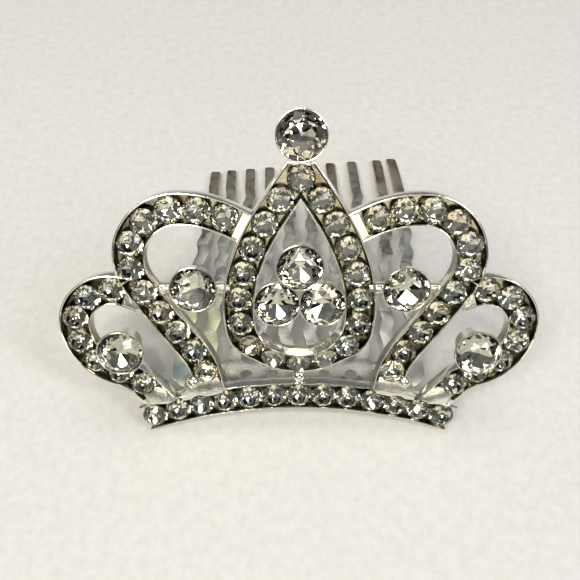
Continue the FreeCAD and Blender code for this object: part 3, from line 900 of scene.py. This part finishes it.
# %% Clear glass and its foil
def clear_glass():
    material, tree = start_material("clear_pressed_glass")
    place = add(tree, "ShaderNodeTexCoord").outputs["Object"]
    batch = add(tree, "ShaderNodeAttribute", attribute_name="stone_shade").outputs["Fac"]
    haze = add(tree, "ShaderNodeTexNoise", {"Vector": place},
               {"Scale": per_mm(1.2), "Detail": 2, "Roughness": 0.5}).outputs["Fac"]
    tint = ramp(tree, batch, [
        (0.0, "#FFFEF6"), (0.4, "#FBFAEC"), (0.7, "#F3F7F4"), (1.0, "#FDF5E0")])
    gloss = span(tree, haze, 0.45, 0.75, 0.0, 0.02)
    dents = add(tree, "ShaderNodeBump", {"Height": haze}, {"Strength": 0.3, "Distance": 0.002 * MM})
    shader = add(tree, "ShaderNodeBsdfPrincipled",
                 {"Base Color": tint, "Roughness": gloss, "Normal": dents.outputs["Normal"]},
                 {"IOR": 1.56, "Transmission Weight": 1})
    close_material(tree, shader)
    return material


def silver_foil():
    material, tree = start_material("silver_foil_backing")
    place = add(tree, "ShaderNodeTexCoord").outputs["Object"]
    crinkle = add(tree, "ShaderNodeTexNoise", {"Vector": place},
                  {"Scale": per_mm(0.9), "Detail": 1, "Roughness": 0.4}).outputs["Fac"]
    colour = ramp(tree, crinkle, [(0.35, "#C9C7BE"), (0.5, "#E4E3DC"), (0.65, "#D8D9D6")])
    gloss = span(tree, crinkle, 0.35, 0.7, 0.01, 0.05)
    dents = add(tree, "ShaderNodeBump", {"Height": crinkle}, {"Strength": 0.3, "Distance": 0.004 * MM})
    shader = add(tree, "ShaderNodeBsdfPrincipled",
                 {"Base Color": colour, "Roughness": gloss, "Normal": dents.outputs["Normal"]},
                 {"Metallic": 1})
    close_material(tree, shader)
    return material


PLATE = plated_casting()
SHEET = worn_comb()
GLASS = clear_glass()
FOIL = silver_foil()
for piece in (crown_bands, crown_cups, crown_joins):
    piece.data.materials.append(PLATE)
comb.data.materials.append(SHEET)
for piece in stones:
    piece.data.materials.append(GLASS)
    piece.data.materials.append(FOIL)
print("materials", [m.name for m in (PLATE, SHEET, GLASS, FOIL)])

# %% [markdown]
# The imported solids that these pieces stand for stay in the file, hidden. They get the same
# finishes, so that nothing in the model is left as bare grey.

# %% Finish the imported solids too
for name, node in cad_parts.items():
    node.data.materials.clear()
    node.data.materials.append(PLATE if name == "crown_with_comb" else GLASS)
print("packed solids finished", len(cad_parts))

# %% [markdown]
# The floor is a plain pale sheet of paper-like board, with a faint tooth so that it doesn't
# look like a void. It isn't part of the object.

# %% Floor
FLOOR_REACH = 1.5


def pale_board():
    material, tree = start_material("pale_matt_board")
    place = add(tree, "ShaderNodeTexCoord").outputs["Object"]
    fibre = add(tree, "ShaderNodeTexNoise", {"Vector": place},
                {"Scale": per_mm(1.5), "Detail": 4, "Roughness": 0.6}).outputs["Fac"]
    colour = ramp(tree, fibre, [(0.3, "#CFCDC8"), (0.7, "#DAD8D3")])
    tooth = add(tree, "ShaderNodeBump", {"Height": fibre}, {"Strength": 0.2, "Distance": 0.05 * MM})
    shader = add(tree, "ShaderNodeBsdfPrincipled",
                 {"Base Color": colour, "Normal": tooth.outputs["Normal"]}, {"Roughness": 0.85})
    close_material(tree, shader)
    return material


ground = bmesh.new()
bmesh.ops.create_grid(ground, x_segments=1, y_segments=1, size=FLOOR_REACH)
ground_mesh = bpy.data.meshes.new("floor")
ground.to_mesh(ground_mesh)
ground.free()
floor = bpy.data.objects.new("floor", ground_mesh)
bpy.context.scene.collection.objects.link(floor)
ground_mesh.materials.append(pale_board())
print("floor", tuple(round(c, 1) for c in floor.dimensions), "m")

# %% [markdown]
# Cut stones need contrast: dark surroundings with a few bright, soft patches. The sky is a
# dim grey, and large area lights stand above, to the sides and behind the camera. Area
# lights seen in a facet are what makes it flash.

# %% Light
SKY = "#8E9092"
SKY_STRENGTH = 0.6
LIT_HEIGHT = 0.02
# name, azimuth and elevation in degrees, distance and size in metres, watts, colour
LAMPS = (
    ("key", -40, 55, 0.6, (0.3, 0.24), 2.4, "#FFF8EC"),
    ("rim", 65, 45, 0.6, (0.12, 0.3), 1.2, "#F4F8FF"),
    ("top", 175, 68, 0.7, (0.5, 0.3), 1.3, "#FFFFFF"),
    ("front", 5, 20, 0.7, (0.5, 0.2), 0.55, "#FFF4E2"),
    ("sparkle", -8, 74, 0.6, (0.05, 0.05), 0.5, "#FFFFFF"),
)


def softbox(name, azimuth, elevation, distance, size, power, colour):
    """An area light that faces the crown from a direction."""
    lamp = bpy.data.lights.new(name, "AREA")
    lamp.shape = "RECTANGLE"
    lamp.size, lamp.size_y = size
    lamp.energy = power
    lamp.color = linear(colour)[:3]
    light = bpy.data.objects.new(name, lamp)
    a, e = math.radians(azimuth), math.radians(elevation)
    away = Vector((math.sin(a) * math.cos(e), -math.cos(a) * math.cos(e), math.sin(e)))
    light.location = away * distance + Vector((0, 0, LIT_HEIGHT))
    light.rotation_euler = away.to_track_quat("Z", "Y").to_euler()
    bpy.context.scene.collection.objects.link(light)


world = bpy.data.worlds.new("studio")
world.use_nodes = True
background = world.node_tree.nodes["Background"]
background.inputs["Color"].default_value = linear(SKY)
background.inputs["Strength"].default_value = SKY_STRENGTH
bpy.context.scene.world = world
for lamp in LAMPS:
    softbox(*lamp)
print("lamps", [lamp[0] for lamp in LAMPS])

# %% [markdown]
# The camera stands where the photograph was taken from, as measured on the flat crown, and
# turns with it. The lens gives the same perspective, from about nine centimetres away.

# %% Camera
FOCAL_LENGTH = 37.24
SENSOR_WIDTH = 36
CAMERA_PLACE = Vector((-1.951, 51.170, 76.371))
CAMERA_LOOK = Vector((0.0068, -0.4036, -0.9149))
CAMERA_UP = Vector((-0.0014, 0.9149, -0.4037))

lens = bpy.data.cameras.new("camera")
lens.lens = FOCAL_LENGTH
lens.sensor_width = SENSOR_WIDTH
lens.clip_start = MM
camera = bpy.data.objects.new("camera", lens)
bpy.context.scene.collection.objects.link(camera)
bpy.context.scene.camera = camera
tilt = Matrix.Rotation(math.radians(CROWN_TILT), 3, "X")
look = tilt @ CAMERA_LOOK.normalized()
up = tilt @ CAMERA_UP.normalized()
side = look.cross(up).normalized()
turned = Matrix((side, side.cross(look), -look)).transposed().to_4x4()
camera.matrix_world = Matrix.Translation(REST @ CAMERA_PLACE) @ turned
bpy.context.scene.view_settings.view_transform = "Standard"
print("camera at", tuple(round(c, 4) for c in camera.matrix_world.translation))
